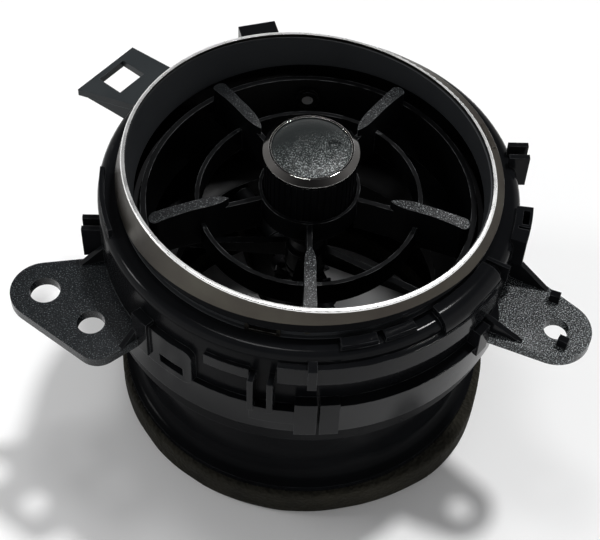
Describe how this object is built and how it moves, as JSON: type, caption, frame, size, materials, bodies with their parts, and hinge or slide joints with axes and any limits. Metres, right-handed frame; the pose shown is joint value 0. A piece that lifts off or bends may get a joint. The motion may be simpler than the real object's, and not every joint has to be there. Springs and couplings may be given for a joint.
{
  "type": "dashboard air vent",
  "caption": "Round dashboard air vent: silver bezel ring, tilting ball nozzle with leaf spokes, turning knob that works two damper flaps, bracketed housing and rear duct with foam seal.",
  "frame": {"origin": "centre of the foam seal's rear face, on which the vent stands and which presses on the car's air duct", "axes": "+Z along the duct axis and out of the vent's face, +X to the right and -Y to the front as the picture shows it"},
  "size_m": [0.1431, 0.1093, 0.0896],
  "materials": {
    "silver_ring": "satin silver paint on plastic",
    "satin_black": "smooth satin",
    "black_moulding": "plain moulded",
    "grained_black": "fine spark grain",
    "foam": "closed cell foam",
    "steel": "drawn",
    "chrome": "bright",
    "bearing_plastic": "smooth acetal",
    "friction_rubber": "smooth"
  },
  "bodies": {
    "housing": {"front_housing": "black_moulding", "bezel_ring": "silver_ring", "bezel_bowl": "satin_black", "rear_duct": "black_moulding", "foam_seal": "foam", "ring_pin_right": "steel", "ring_pin_left": "steel", "damper_frame": "black_moulding", "flap_shaft": "steel"},
    "gimbal": {"gimbal_ring": "bearing_plastic", "ring_bushes": "friction_rubber", "nozzle_bushes": "friction_rubber"},
    "nozzle": {"nozzle_barrel": "satin_black", "nozzle_grille": "grained_black", "nozzle_pin_back": "steel", "nozzle_pin_front": "steel"},
    "knob": {"knob_body": "satin_black", "knob_trim_ring": "chrome", "knob_cap": "grained_black", "knob_shaft": "bearing_plastic", "cross_pin": "steel", "shaft_clip": "steel"},
    "drive": {"drive_shaft": "bearing_plastic", "drive_gear": "bearing_plastic"},
    "damper_right": {"flap_right": "black_moulding", "flap_seal_right": "foam", "flap_gear_right": "bearing_plastic"},
    "damper_left": {"flap_left": "black_moulding", "flap_seal_left": "foam", "flap_gear_left": "bearing_plastic"}
  },
  "joints": [
    {"name": "tilt_up_down", "type": "hinge", "parent": "housing", "child": "gimbal", "pos_m": [0, 0, 0.063], "axis": [1, 0, 0], "range_deg": [-12, 12]},
    {"name": "tilt_side", "type": "hinge", "parent": "gimbal", "child": "nozzle", "pos_m": [0, 0, 0.063], "axis": [0, 1, 0], "range_deg": [-12, 12]},
    {"name": "knob_turn", "type": "hinge", "parent": "nozzle", "child": "knob", "pos_m": [0, 0, 0.063], "axis": [0, 0, 1], "range_deg": [0, 90]},
    {"name": "drive_turn", "type": "hinge", "parent": "housing", "child": "drive", "pos_m": [0, 0, 0.05], "axis": [0, 0, 1], "range_deg": [0, 90]},
    {"name": "flap_right_swing", "type": "hinge", "parent": "housing", "child": "damper_right", "pos_m": [0, 0, 0.0355], "axis": [-0.5, 0.866, 0], "range_deg": [-90, 0]},
    {"name": "flap_left_swing", "type": "hinge", "parent": "housing", "child": "damper_left", "pos_m": [0, 0, 0.0355], "axis": [-0.5, 0.866, 0], "range_deg": [0, 90]}
  ],
  "couplings": [
    {"joint": "drive_turn", "follows": "knob_turn", "ratio": 1},
    {"joint": "flap_right_swing", "follows": "knob_turn", "ratio": -1},
    {"joint": "flap_left_swing", "follows": "knob_turn", "ratio": 1}
  ]
}
